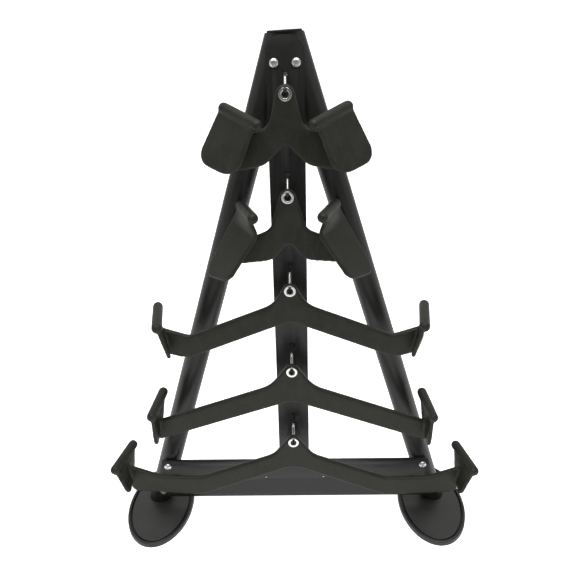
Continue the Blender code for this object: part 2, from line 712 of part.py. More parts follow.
def grip(k, spec):
    name = "grip_%d" % (k + 1)
    at = Vector((0.0, RING_Y, RING_Z[k]))
    tip = Matrix.Rotation(math.radians(spec["hang"]), 4, "Y")
    palm = Palm(spec)

    # outline of the arms: hub arc, upper edge, palm plate, lower edge
    hub = spec["hub"] * MM
    first = Vector(spec["top"][0][:2]) * MM
    touch = math.atan2(first.y, first.x) + math.acos(hub / first.length)
    arc = []
    steps = 6
    for i in range(steps + 1):
        t = math.pi / 2.0 + (touch - math.pi / 2.0) * i / steps
        arc.append((hub * math.cos(t), hub * math.sin(t), 0.0))
    end = [(palm.x_at(z * MM), z * MM, 0.0) for z in spec["end"]]
    half = (arc + [tuple(v * MM for v in c) for c in spec["top"]]
            + end + [tuple(v * MM for v in c) for c in spec["low"]])
    left = [(-x, z, r) for x, z, r in reversed(half[1:-1])]
    outline = fillet(half + left, 16.0)
    arms = flat(name, (outline,), ARM_HALF_T, True)
    arms.transform(tip)
    obj = node(name, smooth(arms), (0.035, 0.034, 0.031), 0.62, 0.0, at)
    bevel(obj, ARM_EDGE, 2, 50.0)

    for side, tag in ((1.0, "r"), (-1.0, "l")):
        flip = Vector((side, 1.0, 1.0))
        axis = palm.along * flip
        down = palm.down(0.5) * flip
        roll = cutter("%s_roll_%s" % (name, tag), roll_mesh(),
                      Matrix.Translation(at) @ tip @ axes(
                          palm.centre * flip, down, axis.cross(down), axis))
        sheet = palm.mesh(side)
        sheet.transform(tip)
        plate = cutter("%s_palm_%s" % (name, tag), sheet)
        plate.location = at
        thick = plate.modifiers.new("thickness", "SOLIDIFY")
        thick.thickness = PALM_T
        thick.offset = 0.0
        thick.use_even_offset = True
        bevel(plate, PALM_EDGE, 2, 50.0)
        boolean(obj, plate, "UNION")
        boolean(obj, roll, "UNION")
    boolean(obj, cutter(name + "_bore", drum(HUB_BORE_R, 40.0 * MM, 18, at)),
            "DIFFERENCE")


for index, spec in enumerate(GRIPS):
    grip(index, spec)
    node("eyelet_%d" % (index + 1), eyelet(), (0.8, 0.79, 0.76), 0.18, 1.0,
         (0.0, RING_Y, RING_Z[index]))
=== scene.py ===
import math
import bpy
import bmesh
from mathutils import Matrix, Vector


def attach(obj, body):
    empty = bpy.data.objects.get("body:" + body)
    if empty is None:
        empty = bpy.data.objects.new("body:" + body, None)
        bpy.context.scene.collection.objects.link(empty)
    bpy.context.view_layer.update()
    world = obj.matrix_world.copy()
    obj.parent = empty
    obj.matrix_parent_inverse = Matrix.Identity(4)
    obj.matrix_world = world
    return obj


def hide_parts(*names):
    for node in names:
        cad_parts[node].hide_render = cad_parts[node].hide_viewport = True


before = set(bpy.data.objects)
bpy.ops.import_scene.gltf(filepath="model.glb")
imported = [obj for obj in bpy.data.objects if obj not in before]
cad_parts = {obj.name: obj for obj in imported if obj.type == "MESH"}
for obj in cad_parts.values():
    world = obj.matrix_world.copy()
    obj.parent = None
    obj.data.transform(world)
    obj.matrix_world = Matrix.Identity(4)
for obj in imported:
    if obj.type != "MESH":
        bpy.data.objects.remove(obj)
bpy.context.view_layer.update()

MM = 0.001
GAP = 0.3 * MM

TUBE_R = 30.0 * MM
TUBE_WALL = 2.5 * MM
TUBE_Y = 31.0 * MM
TUBE_X0 = 395.4 * MM
TUBE_SLOPE = 0.30931
TUBE_TOP = 1248.0 * MM
TOP_SLANT = math.radians(2.2)
CAP_HALF_X = 36.3 * MM
CAP_HALF_Y = 32.5 * MM
CAP_CORNER = 27.0 * MM
CAP_THICK = 3.5 * MM
CAP_DROP = 0.25 * MM
PLATE_T = 6.0 * MM
PLATE_FRONT = TUBE_Y - TUBE_R - GAP - PLATE_T
SPINE_HALF_W = 40.0 * MM
SPINE_TOP = 1244.0 * MM
SPINE_CORNER = 34.0 * MM
CROSS_TOP = 166.6 * MM
CROSS_BOTTOM = 39.8 * MM
CROSS_HALF_TOP = 364.2 * MM
CROSS_HALF_BOTTOM = 399.6 * MM
CROSS_SMALL_HOLE = (80.0 * MM, 104.0 * MM, 3.5 * MM)
TOP_SCREW_AT = (22.9 * MM, 1191.0 * MM)
CROSS_SCREWS_AT = ((350.0 * MM, 148.5 * MM), (371.0 * MM, 61.0 * MM))
SCREW_SHANK_R = 5.0 * MM
SCREW_HOLE_R = 5.4 * MM
SCREW_SHANK_L = 13.0 * MM
TOP_HEAD_R = 9.4 * MM
CROSS_HEAD_R = 9.6 * MM
HEAD_H = 6.0 * MM
SOCKET_R = 3.4 * MM
SOCKET_DEPTH = 3.2 * MM
RING_Y = -72.0 * MM
RING_Z = [z * MM for z in (1137.9, 929.2, 711.7, 496.9, 286.0)]
EYE_BORE_R = 7.25 * MM
EYE_BARREL_R = 10.5 * MM
EYE_FLANGE_R = 13.3 * MM
EYE_HALF_L = 8.5 * MM
EYE_MOUTH_R = 2.0 * MM
EYE_FLANGE_T = 1.2 * MM
HOOK_R = 3.2 * MM
HOOK_RISE = 30.0 * MM
HOOK_TIP_SLOPE = math.radians(25.0)
HOOK_DROP_SLOPE = math.radians(60.0)
HOOK_BOTTOM_R = 12.0 * MM
HOOK_BOTTOM_Y = 2.0 * MM
HOOK_BOTTOM_Z = 0.25 * MM
HOOK_TOP_R = 10.0 * MM
HOOK_REACH = 28.0 * MM
HOOK_REAR = 10.0 * MM
HOOK_HOLE_R = 3.8 * MM
NUT_AF = 10.0 * MM
NUT_H = 5.0 * MM
FOOT_X = 383.7 * MM
FOOT_RX = 90.0 * MM
FOOT_RY = 149.0 * MM
SOLE_FLOOR = 4.0 * MM
SOLE_RIM_W = 8.0 * MM
SOLE_RIM_H = 14.0 * MM
FOOT_GROOVE = 3.0 * MM
FOOT_PLATE_T = 8.0 * MM
FOOT_PLATE_TOP = SOLE_FLOOR + GAP + FOOT_PLATE_T
ARM_HALF_T = 7.0 * MM
HUB_BORE_R = EYE_BARREL_R + GAP
ROLL_R = 12.3 * MM
ROLL_LEN = 125.0 * MM
ROLL_END_R = 9.0 * MM
PALM_T = 12.0 * MM
PALM_SET_BACK = 2.0 * MM
PALM_THIN = 2.4 * MM
PALM_FLARE = 0.27

GRIPS = (
    dict(hub=19.0, top=((34.5, -63.9, 30.0),),
         end=(-87.9, -127.9),
         low=((100.0, -151.9, 20.0),
              (46.0, -142.4, 50.0),
              (0.0, -97.9, 9.0)),
         near=(55.5, -42.0, -53.3), far=(126.0, 31.0, -30.3),
         lean=(21.0, 28.0), drop=(117.0, 121.0), inset=(17.0, 1.0),
         round=(43.0, 42.0, 30.0), bow=0.0, hang=0.45),
    dict(hub=17.3, top=((39.0, -72.4, 30.0),),
         end=(-101.9, -153.7),
         low=((35.0, -143.4, 45.0),
              (0.0, -99.9, 9.0)),
         near=(71.5, -52.0, -30.9), far=(106.0, 54.0, -32.9),
         lean=(24.5, 29.0), drop=(150.0, 181.0), inset=(20.0, 2.0),
         round=(26.0, 22.0, 30.0), bow=27.0, hang=0.00),
    dict(hub=16.5, top=((38.5, -36.1, 75.0),
                        (238.0, -115.9, 25.0)),
         end=(-93.4, -161.3),
         low=((247.0, -176.3, 80.0),
              (0.0, -78.4, 45.0)),
         near=(298.8, -57.0, -71.1), far=(320.5, 66.0, -67.1),
         lean=(-14.0, 3.0), drop=(91.0, 91.0), inset=(6.0, 6.0),
         round=(20.0, 20.0, 20.0), bow=0.0, hang=0.50),
    dict(hub=18.3, top=((52.8, -43.2, 75.0),),
         end=(-146.7, -184.2),
         low=((340.0, -204.2, 60.0),
              (0.0, -84.2, 45.0)),
         near=(340.0, -56.5, -101.9), far=(331.5, 67.0, -100.4),
         lean=(-1.5, 9.0), drop=(91.0, 91.0), inset=(6.0, 6.0),
         round=(20.0, 20.0, 20.0), bow=0.0, hang=0.95),
    dict(hub=17.2, top=((51.3, -42.6, 50.0),
                        (241.0, -117.3, 40.0),
                        (352.0, -113.8, 70.0)),
         end=(-79.3, -124.3),
         low=((432.0, -162.3, 30.0),
              (243.0, -174.5, 60.0),
              (0.0, -75.4, 70.0)),
         near=(451.5, -51.0, -52.3), far=(431.5, 54.0, -55.3),
         lean=(-23.0, 8.0), drop=(79.0, 79.0), inset=(6.0, 6.0),
         round=(20.0, 20.0, 20.0), bow=0.0, hang=0.85),
)

LOOK = bpy.data.collections.new("look")
bpy.context.scene.collection.children.link(LOOK)


# ---------------------------------------------------------------- materials
class Nodes:
    """Short way to write a node tree."""

    def __init__(self, tree):
        self.tree = tree
        tree.nodes.clear()

    def add(self, kind, **values):
        node = self.tree.nodes.new(kind)
        for key, value in values.items():
            setattr(node, key, value)
        return node

    def link(self, a, b):
        self.tree.links.new(a, b)

    def value(self, socket, thing):
        if isinstance(thing, bpy.types.NodeSocket):
            self.link(thing, socket)
        else:
            socket.default_value = thing

    def noise(self, coord, scale, detail=3.0, rough=0.5, distortion=0.0):
        node = self.add("ShaderNodeTexNoise")
        self.link(coord, node.inputs["Vector"])
        node.inputs["Scale"].default_value = scale
        node.inputs["Detail"].default_value = detail
        node.inputs["Roughness"].default_value = rough
        node.inputs["Distortion"].default_value = distortion
        return node.outputs["Fac"]

    def spread(self, socket, low, high, a=0.3, b=0.7):
        node = self.add("ShaderNodeMapRange")
        self.link(socket, node.inputs["Value"])
        node.inputs["From Min"].default_value = a
        node.inputs["From Max"].default_value = b
        node.inputs["To Min"].default_value = low
        node.inputs["To Max"].default_value = high
        return node.outputs["Result"]

    def math(self, op, a, b=0.0, clamp=False):
        node = self.add("ShaderNodeMath", operation=op, use_clamp=clamp)
        self.value(node.inputs[0], a)
        self.value(node.inputs[1], b)
        return node.outputs[0]

    def mix(self, fac, a, b, blend="MIX"):
        node = self.add("ShaderNodeMix", data_type="RGBA", blend_type=blend)
        self.value(node.inputs["Factor"], fac)
        for name, thing in (("A", a), ("B", b)):
            socket = [s for s in node.inputs if s.name == name
                      and s.type == "RGBA"][0]
            if isinstance(thing, bpy.types.NodeSocket):
                self.link(thing, socket)
            else:
                socket.default_value = (*thing, 1.0)
        return [s for s in node.outputs if s.type == "RGBA"][0]

    def bump(self, height, strength, distance, normal=None):
        node = self.add("ShaderNodeBump")
        node.inputs["Strength"].default_value = strength
        node.inputs["Distance"].default_value = distance
        self.link(height, node.inputs["Height"])
        if normal is not None:
            self.link(normal, node.inputs["Normal"])
        return node.outputs["Normal"]

    def scaled(self, coord, scale):
        node = self.add("ShaderNodeMapping")
        self.link(coord, node.inputs["Vector"])
        node.inputs["Scale"].default_value = scale
        return node.outputs["Vector"]


def start(name):
    mat = bpy.data.materials.new(name)
    mat.use_nodes = True
    nodes = Nodes(mat.node_tree)
    coord = nodes.add("ShaderNodeTexCoord").outputs["Object"]
    bsdf = nodes.add("ShaderNodeBsdfPrincipled")
    out = nodes.add("ShaderNodeOutputMaterial")
    nodes.link(bsdf.outputs[0], out.inputs["Surface"])
    return mat, nodes, coord, bsdf


def coating():
    """Matte charcoal coating: fine pebble, soft mottling, faint rubbed spots."""
    mat, n, coord, bsdf = start("charcoal_coating")
    cloud = n.noise(coord, 22.0, 4.0, 0.55)
    patch = n.noise(n.scaled(coord, (1.0, 1.0, 0.35)), 75.0, 4.0, 0.65, 0.6)
    grit = n.noise(coord, 900.0, 2.0, 0.6)
    base = n.mix(n.spread(cloud, 0.0, 1.0, 0.35, 0.65),
                 (0.0086, 0.0087, 0.0066), (0.0150, 0.0151, 0.0120))
    base = n.mix(n.spread(patch, 0.0, 0.60, 0.5, 0.72), base,
                 (0.0225, 0.0225, 0.0186))
    base = n.mix(n.spread(grit, 0.0, 0.42, 0.48, 0.78), base,
                 (0.040, 0.040, 0.033))
    n.link(base, bsdf.inputs["Base Color"])
    rough = n.math("ADD", n.spread(cloud, 0.45, 0.54), n.spread(patch, -0.05, 0.05))
    n.link(rough, bsdf.inputs["Roughness"])
    bsdf.inputs["Specular IOR Level"].default_value = 0.27
    bsdf.inputs["Specular Tint"].default_value = (1.0, 1.0, 0.90, 1.0)
    pebble = n.add("ShaderNodeTexVoronoi", feature="SMOOTH_F1")
    n.link(coord, pebble.inputs["Vector"])
    pebble.inputs["Scale"].default_value = 620.0
    pebble.inputs["Smoothness"].default_value = 0.7
    low = n.bump(n.noise(coord, 38.0, 3.0, 0.55), 0.32, 0.0014)
    mid = n.bump(pebble.outputs["Distance"], 0.22, 0.0004, low)
    fine = n.bump(grit, 0.18, 0.0003, mid)
    n.link(fine, bsdf.inputs["Normal"])
    return mat


def gloss_paint():
    """Gloss black powder coat with a slight orange peel."""
    mat, n, coord, bsdf = start("gloss_black_coat")
    cloud = n.noise(coord, 9.0, 4.0, 0.6)
    dust = n.noise(coord, 1300.0, 1.0, 0.5)
    base = n.mix(n.spread(cloud, 0.0, 1.0), (0.0095, 0.0095, 0.0086),
                 (0.0135, 0.0136, 0.0120))
    base = n.mix(n.spread(dust, 0.0, 0.35, 0.68, 0.82), base, (0.06, 0.06, 0.058))
    n.link(base, bsdf.inputs["Base Color"])
    n.link(n.math("ADD", n.spread(cloud, 0.36, 0.42),
                  n.spread(n.noise(coord, 60.0, 3.0), -0.02, 0.03)),
           bsdf.inputs["Roughness"])
    bsdf.inputs["Specular IOR Level"].default_value = 0.42
    peel = n.bump(n.noise(coord, 330.0, 2.0, 0.5), 0.10, 0.0004)
    n.link(peel, bsdf.inputs["Normal"])
    return mat


def satin_paint(name, tone):
    """Satin black powder coat on flat plate."""
    mat, n, coord, bsdf = start(name)
    cloud = n.noise(coord, 14.0, 4.0, 0.6)
    grain = n.noise(coord, 1100.0, 2.0, 0.6)
    base = n.mix(n.spread(cloud, 0.0, 1.0),
                 (0.0066 * tone, 0.0066 * tone, 0.0062 * tone),
                 (0.0098 * tone, 0.0098 * tone, 0.0091 * tone))
    base = n.mix(n.spread(grain, 0.0, 0.22, 0.6, 0.85), base, (0.038, 0.038, 0.036))
    n.link(base, bsdf.inputs["Base Color"])
    n.link(n.math("ADD", n.spread(cloud, 0.37, 0.45),
                  n.spread(n.noise(coord, 120.0, 3.0), -0.03, 0.04)),
           bsdf.inputs["Roughness"])
    bsdf.inputs["Specular IOR Level"].default_value = 0.5
    peel = n.bump(n.noise(coord, 420.0, 2.0, 0.55), 0.16, 0.0004)
    n.link(n.bump(grain, 0.10, 0.0002, peel), bsdf.inputs["Normal"])
    return mat


def cap_plastic():
    """Dull black moulded cap."""
    mat, n, coord, bsdf = start("dull_black_cap")
    cloud = n.noise(coord, 60.0, 4.0, 0.6)
    grain = n.noise(coord, 1500.0, 2.0, 0.6)
    n.link(n.mix(n.spread(cloud, 0.0, 1.0), (0.004, 0.004, 0.004),
                 (0.008, 0.008, 0.0078)), bsdf.inputs["Base Color"])
    n.link(n.spread(cloud, 0.55, 0.65), bsdf.inputs["Roughness"])
    bsdf.inputs["Specular IOR Level"].default_value = 0.2
    n.link(n.bump(grain, 0.2, 0.0002), bsdf.inputs["Normal"])
    return mat


def rubber():
    """Moulded black rubber with a fine matte grain."""
    mat, n, coord, bsdf = start("moulded_rubber")
    cloud = n.noise(coord, 30.0, 4.0, 0.6)
    grain = n.noise(coord, 1400.0, 2.0, 0.6)
    base = n.mix(n.spread(cloud, 0.0, 1.0), (0.010, 0.010, 0.010),
                 (0.017, 0.0168, 0.016))
    base = n.mix(n.spread(grain, 0.0, 0.3, 0.6, 0.85), base, (0.05, 0.05, 0.048))
    n.link(base, bsdf.inputs["Base Color"])
    n.link(n.spread(cloud, 0.38, 0.5), bsdf.inputs["Roughness"])
    low = n.bump(n.noise(coord, 150.0, 2.0, 0.5), 0.2, 0.0005)
    n.link(n.bump(grain, 0.2, 0.0002, low), bsdf.inputs["Normal"])
    return mat


def steel(name, colour, low, high, dark_tip=False, bore_z=None):
    """Bright metal with fine turning marks and faint smudges.

    A height for the bore darkens the metal inside that ring as painted shade in the
    bore."""
    mat, n, coord, bsdf = start(name)
    smudge = n.noise(coord, 160.0, 4.0, 0.6)
    lines = n.noise(n.scaled(coord, (3500.0, 260.0, 3500.0)), 1.0, 2.0, 0.5)
    base = n.mix(n.spread(smudge, 0.0, 1.0), colour,
                 tuple(c * 0.80 for c in colour))
    rough = n.math("ADD", n.spread(smudge, low, high),
                   n.spread(lines, -0.03, 0.05), True)
    bsdf.inputs["Metallic"].default_value = 1.0
    # The rod's colour is made dark and rougher from the ring's middle forward to
    # its tip, with a ragged edge.
    if dark_tip:
        part = n.add("ShaderNodeSeparateXYZ")
        n.link(coord, part.inputs[0])
        ragged = n.math("ADD", part.outputs["Y"],
                        n.spread(n.noise(coord, 700.0, 2.0), -0.0008, 0.0008))
        dark = n.spread(ragged, 1.0, 0.0, -0.0735, -0.0705)
        dark_node = dark.node
        dark_node.clamp = True
        base = n.mix(dark, base, (0.03, 0.03, 0.03))
        rough = n.math("ADD", rough, n.math("MULTIPLY", dark, 0.25), True)
    # Painted shade: inside the eyelet's bore the metal is made dark and rougher,
    # its edge jittered by noise.
    if bore_z is not None:
        part = n.add("ShaderNodeSeparateXYZ")
        n.link(coord, part.inputs[0])
        across = n.math("POWER", part.outputs["X"], 2.0)
        up = n.math("POWER", n.math("SUBTRACT", part.outputs["Z"], bore_z), 2.0)
        reach = n.math("SQRT", n.math("ADD", across, up))
        bore_shade_jitter = n.spread(n.noise(coord, 500.0, 2.0), -0.0003, 0.0003)
        inside = n.spread(n.math("ADD", reach, bore_shade_jitter), 1.0, 0.0,
                          EYE_BORE_R + 0.1 * MM, EYE_BORE_R + 0.5 * MM)
        base = n.mix(inside, base, (0.12, 0.12, 0.115))
        rough = n.math("ADD", rough, n.math("MULTIPLY", inside, 0.2), True)
    n.link(base, bsdf.inputs["Base Color"])
    n.link(rough, bsdf.inputs["Roughness"])
    n.link(n.bump(lines, 0.08, 0.0001), bsdf.inputs["Normal"])
    return mat


def black_nut():
    """Black oxide with rubbed edges."""
    mat, n, coord, bsdf = start("black_oxide")
    cloud = n.noise(coord, 420.0, 4.0, 0.6)
    base = n.mix(n.spread(cloud, 0.0, 1.0, 0.4, 0.8), (0.012, 0.012, 0.013),
                 (0.045, 0.044, 0.042))
    n.link(base, bsdf.inputs["Base Color"])
    n.link(n.spread(cloud, 0.3, 0.5), bsdf.inputs["Roughness"])
    n.link(n.bump(cloud, 0.15, 0.0002), bsdf.inputs["Normal"])
    return mat


def pale_floor():
    """Pale paper, lit less and less towards the viewer's side."""
    mat, n, coord, bsdf = start("pale_floor")
    cloud = n.noise(coord, 2.0, 3.0, 0.5)
    part = n.add("ShaderNodeSeparateXYZ")
    n.link(coord, part.inputs[0])
    dim = n.spread(part.outputs["Y"], 1.0, 0.0, -1.9, -0.8)
    base = n.mix(n.spread(cloud, 0.0, 1.0), (0.90, 0.90, 0.90),
                 (0.92, 0.92, 0.92))
    base = n.mix(dim, base, (0.55, 0.55, 0.55))
    n.link(base, bsdf.inputs["Base Color"])
    bsdf.inputs["Roughness"].default_value = 0.9
    bsdf.inputs["Specular IOR Level"].default_value = 0.1
    bsdf.inputs["Emission Color"].default_value = (1.0, 1.0, 1.0, 1.0)
    fall = n.spread(part.outputs["Y"], 0.36, 0.0, -1.5, -0.7)
    glow = n.math("SUBTRACT", 0.43, fall)
    seen = n.add("ShaderNodeLightPath").outputs["Is Camera Ray"]
    n.link(n.math("ADD", glow, n.math("MULTIPLY", seen,
                                      n.math("SUBTRACT", 0.85, glow))),
           bsdf.inputs["Emission Strength"])
    return mat


MATS = {
    "coating": coating(),
    "tube": gloss_paint(),
    "plate": satin_paint("satin_black_coat", 1.0),
    "foot": satin_paint("satin_black_foot", 3.0),
    "rubber": rubber(),
    "hook": steel("bright_rod", (0.46, 0.455, 0.44), 0.20, 0.30, True),
    "screw": steel("bright_screw", (0.94, 0.935, 0.92), 0.30, 0.40),
    "cap": cap_plastic(),
    "nut": black_nut(),
    "floor": pale_floor(),
}
for k, z in enumerate(RING_Z):
    MATS["eyelet_%d" % (k + 1)] = steel("polished_eyelet_%d" % (k + 1),
                                        (0.88, 0.875, 0.86), 0.20, 0.28,
                                        bore_z=z)


# --------------------------------------------------------------- mesh tools
def finish(mesh):
    bm = bmesh.new()
    bm.from_mesh(mesh)
    bmesh.ops.remove_doubles(bm, verts=bm.verts, dist=1e-6)
    bmesh.ops.recalc_face_normals(bm, faces=bm.faces)
    bm.to_mesh(mesh)
    bm.free()
    return mesh


def baked(obj):
    """Mesh of an object with its modifiers applied; the object goes."""
    bpy.context.view_layer.update()
    deps = bpy.context.evaluated_depsgraph_get()
    mesh = bpy.data.meshes.new_from_object(obj.evaluated_get(deps))
    bpy.data.objects.remove(obj, do_unlink=True)
    return mesh


def loose(mesh_or_curve):
    obj = bpy.data.objects.new("tmp", mesh_or_curve)
    bpy.context.scene.collection.objects.link(obj)
    return obj


def flat(name, loops, half, upright, edge=0.0, segments=3):
    """Plate from closed outlines with holes, its edges rounded over."""
    curve = bpy.data.curves.new(name, "CURVE")
    curve.dimensions = "2D"
    curve.fill_mode = "BOTH"
    curve.extrude = half
    for loop in loops:
        spline = curve.splines.new("POLY")
        spline.points.add(len(loop) - 1)
        for point, (a, b) in zip(spline.points, loop):
            point.co = (a, b, 0.0, 1.0)
        spline.use_cyclic_u = True
    mesh = finish(baked(loose(curve)))
    bm = bmesh.new()
    bm.from_mesh(mesh)
    bmesh.ops.dissolve_limit(bm, angle_limit=math.radians(0.2),
                             verts=bm.verts, edges=bm.edges,
                             delimit={"NORMAL"})
    bm.to_mesh(mesh)
    bm.free()
    if upright:
        mesh.transform(Matrix.Rotation(math.pi / 2.0, 4, "X"))
    if edge > 0.0:
        obj = loose(mesh)
        mod = obj.modifiers.new("edge", "BEVEL")
        mod.width = edge
        mod.segments = segments
        mod.limit_method = "ANGLE"
        mod.angle_limit = math.radians(45.0)
        mod.harden_normals = False
        mesh = baked(obj)
    return mesh


def turned(name, profile, sides, closed=False):
    mesh = bpy.data.meshes.new(name)
    count = len(profile)
    edges = [(i, i + 1) for i in range(count - 1)]
    if closed:
        edges.append((count - 1, 0))
    mesh.from_pydata([(r, 0.0, z) for r, z in profile], edges, [])
    obj = loose(mesh)
    mod = obj.modifiers.new("turn", "SCREW")
    mod.axis = "Z"
    mod.angle = 2.0 * math.pi
    mod.steps = sides
    mod.render_steps = sides
    mod.use_merge_vertices = True
    mod.merge_threshold = 1e-6
    return finish(baked(obj))


def rod(name, points, radius, resolution):
    curve = bpy.data.curves.new(name, "CURVE")
    curve.dimensions = "3D"
    curve.bevel_depth = radius
    curve.bevel_resolution = resolution
    curve.use_fill_caps = True
    spline = curve.splines.new("POLY")
    spline.points.add(len(points) - 1)
    for point, co in zip(spline.points, points):
        point.co = (*co, 1.0)
    return finish(baked(loose(curve)))


def fillet(corners, step=15.0):
    out = []
    count = len(corners)
    for i, (x, z, radius) in enumerate(corners):
        here = Vector((x, z))
        before = Vector(corners[i - 1][:2]) - here
        after = Vector(corners[(i + 1) % count][:2]) - here
        if radius <= 0.0:
            out.append((x, z))
            continue
        a, b = before.normalized(), after.normalized()
        opening = math.acos(max(-1.0, min(1.0, a.dot(b))))
        turn = math.pi - opening
        reach = min(radius / math.tan(opening / 2.0),
                    0.48 * before.length, 0.48 * after.length)
        radius = reach * math.tan(opening / 2.0)
        centre = here + (a + b).normalized() * (radius / math.sin(opening / 2.0))
        begin = here + a * reach - centre
        steps = max(1, round(math.degrees(turn) / step))
        sign = 1.0 if a.x * b.y - a.y * b.x < 0.0 else -1.0
        for k in range(steps + 1):
            t = sign * turn * k / steps
            out.append((centre.x + begin.x * math.cos(t) - begin.y * math.sin(t),
                        centre.y + begin.x * math.sin(t) + begin.y * math.cos(t)))
    return out


def circle(x, z, radius, sides):
    return [(x + radius * math.cos(2.0 * math.pi * k / sides),
             z + radius * math.sin(2.0 * math.pi * k / sides))
            for k in range(sides)]


def axes(origin, ux, uy, uz):
    out = Matrix.Identity(4)
    for col, vec in enumerate((ux, uy, uz, origin)):
        for row in range(3):
            out[row][col] = vec[row]
    return out


def drum(radius, length, sides, centre):
    bm = bmesh.new()
    bmesh.ops.create_cone(bm, cap_ends=True, segments=sides, radius1=radius,
                          radius2=radius, depth=length)
    mesh = bpy.data.meshes.new("drum")
    bm.to_mesh(mesh)
    bm.free()
    mesh.transform(Matrix.Rotation(math.pi / 2.0, 4, "X"))
    mesh.transform(Matrix.Translation(centre))
    return mesh


def cut(mesh, other, how="DIFFERENCE"):
    a, b = loose(mesh), loose(other)
    mod = a.modifiers.new("cut", "BOOLEAN")
    mod.operation = how
    mod.solver = "EXACT"
    mod.object = b
    out = baked(a)
    bpy.data.objects.remove(b, do_unlink=True)
    return out


def show(name, mesh, mat, node, body, angle=35.0, at=None):
    """A finished piece that stands for a CAD node and moves with its body."""
    if at is not None:
        mesh.transform(Matrix.Translation(at))
    for poly in mesh.polygons:
        poly.use_smooth = True
    if angle is not None:
        mesh.set_sharp_from_angle(angle=math.radians(angle))
    mesh.materials.clear()
    mesh.materials.append(MATS[mat])
    obj = bpy.data.objects.new(name, mesh)
    LOOK.objects.link(obj)
    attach(obj, body)
    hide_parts(node)
    return obj


# --------------------------------------------------------------------- legs
def leg(side, name):
    tilt = Vector((-side * TUBE_SLOPE, 0.0, 1.0)).normalized()
    middle = Vector((side * (TUBE_X0 - TUBE_SLOPE * 630.0 * MM), TUBE_Y,
                     630.0 * MM))
    across = Vector((0.0, 1.0, 0.0))
    bm = bmesh.new()
    sides, rows = 96, 12
    grid = []
    for radius in (TUBE_R, TUBE_R - TUBE_WALL):
        for i in range(rows + 1):
            z = (-0.7 + 1.4 * i / rows)
            grid.append([bm.verts.new((radius * math.cos(2 * math.pi * k / sides),
                                       radius * math.sin(2 * math.pi * k / sides),
                                       z)) for k in range(sides)])
    for shell in range(2):
        for i in range(rows):
            a, b = grid[shell * (rows + 1) + i], grid[shell * (rows + 1) + i + 1]
            for k in range(sides):
                j = (k + 1) % sides
                quad = [a[k], a[j], b[j], b[k]]
                bm.faces.new(quad if shell == 0 else quad[::-1])
    for i in (0, rows):
        a, b = grid[i], grid[rows + 1 + i]
        for k in range(sides):
            j = (k + 1) % sides
            quad = [a[k], b[k], b[j], a[j]]
            bm.faces.new(quad if i == 0 else quad[::-1])
    bm.transform(axes(middle, across.cross(tilt), across, tilt))

    def trim(point, normal):
        geom = list(bm.verts) + list(bm.edges) + list(bm.faces)
        done = bmesh.ops.bisect_plane(bm, geom=geom, plane_co=point,
                                      plane_no=normal, clear_outer=True)
        rim = [e for e in done["geom_cut"] if isinstance(e, bmesh.types.BMEdge)]
        bmesh.ops.holes_fill(bm, edges=rim, sides=0)

    trim((side * 0.02 * MM, 0.0, 0.0), (-side, 0.0, 0.0))
    trim((0.0, 0.0, TUBE_TOP), (-math.sin(TOP_SLANT), 0.0, math.cos(TOP_SLANT)))
    trim((0.0, 0.0, FOOT_PLATE_TOP + GAP), (0.0, 0.0, -1.0))
    bmesh.ops.recalc_face_normals(bm, faces=bm.faces)
    mesh = bpy.data.meshes.new(name)
    bm.to_mesh(mesh)
    bm.free()
    show("look_" + name, mesh, "tube", name, "rack_frame")


leg(-1.0, "leg_left")
leg(1.0, "leg_right")

cap = flat("cap", (fillet((
    (CAP_HALF_X, -CAP_HALF_Y, CAP_CORNER), (CAP_HALF_X, CAP_HALF_Y, CAP_CORNER),
    (-CAP_HALF_X, CAP_HALF_Y, CAP_CORNER),
    (-CAP_HALF_X, -CAP_HALF_Y, CAP_CORNER)), 4.0),),
    (CAP_THICK + CAP_DROP) / 2.0, False, 0.5 * MM, 3)
cap.transform(Matrix.Translation((0.0, 0.0, TUBE_TOP))
              @ Matrix.Rotation(-TOP_SLANT, 4, "Y")
              @ Matrix.Translation((0.0, TUBE_Y,
                                    GAP + (CAP_THICK - CAP_DROP) / 2.0)))
show("look_top_cap", cap, "cap", "top_cap", "rack_frame",
     35.0)

# -------------------------------------------------------- spine, crossmember
plate_y = PLATE_FRONT + PLATE_T / 2.0
spine_low = CROSS_TOP + GAP
loops = [fillet((
    (-SPINE_HALF_W, spine_low, 0.0), (SPINE_HALF_W, spine_low, 0.0),
    (SPINE_HALF_W, SPINE_TOP, SPINE_CORNER),
    (-SPINE_HALF_W, SPINE_TOP, SPINE_CORNER)), 4.0)]
for z in RING_Z:
    loops.append(circle(0.0, z + HOOK_RISE, HOOK_HOLE_R, 32))
for s in (-1.0, 1.0):
    loops.append(circle(s * TOP_SCREW_AT[0], TOP_SCREW_AT[1], SCREW_HOLE_R, 32))
show("look_spine_plate", flat("spine", loops, PLATE_T / 2.0, True, 0.9 * MM, 3),
     "plate", "spine_plate", "rack_frame", 35.0,
     (0.0, plate_y, 0.0))

loops = [[(-CROSS_HALF_BOTTOM, CROSS_BOTTOM), (CROSS_HALF_BOTTOM, CROSS_BOTTOM),
          (CROSS_HALF_TOP, CROSS_TOP), (-CROSS_HALF_TOP, CROSS_TOP)]]
for s in (-1.0, 1.0):
    for x, z in CROSS_SCREWS_AT:
        loops.append(circle(s * x, z, SCREW_HOLE_R, 32))
    loops.append(circle(s * CROSS_SMALL_HOLE[0], CROSS_SMALL_HOLE[1],
                        CROSS_SMALL_HOLE[2], 32))
show("look_crossmember", flat("cross", loops, PLATE_T / 2.0, True, 0.9 * MM, 3),
     "plate", "crossmember", "rack_frame", 35.0,
     (0.0, plate_y, 0.0))


